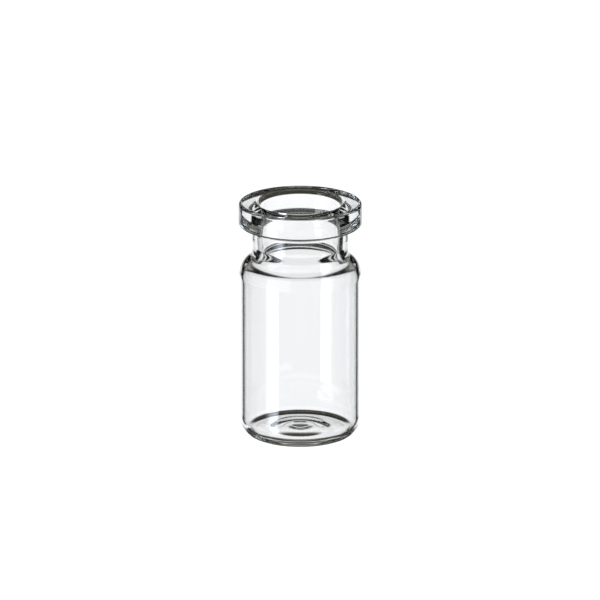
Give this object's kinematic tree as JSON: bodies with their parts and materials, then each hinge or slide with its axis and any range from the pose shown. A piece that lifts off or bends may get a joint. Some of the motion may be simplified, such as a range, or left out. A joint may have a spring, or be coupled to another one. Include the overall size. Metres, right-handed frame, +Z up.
{
  "type": "glass sample vial",
  "caption": "Small clear glass sample vial with a flanged crimp finish, short neck, rounded shoulder, straight thin wall and pushed-up base, open and empty.",
  "frame": {"origin": "centre of the base on the plane the vial stands on", "axes": "+Z up the vial's axis, out of the mouth; X and Y are equal, because the vial is round"},
  "size_m": [0.02, 0.02, 0.0392],
  "materials": {
    "clear_glass": "clear, colourless, fire-polished"
  },
  "bodies": {
    "root": {"vial": "clear_glass"}
  },
  "joints": []
}
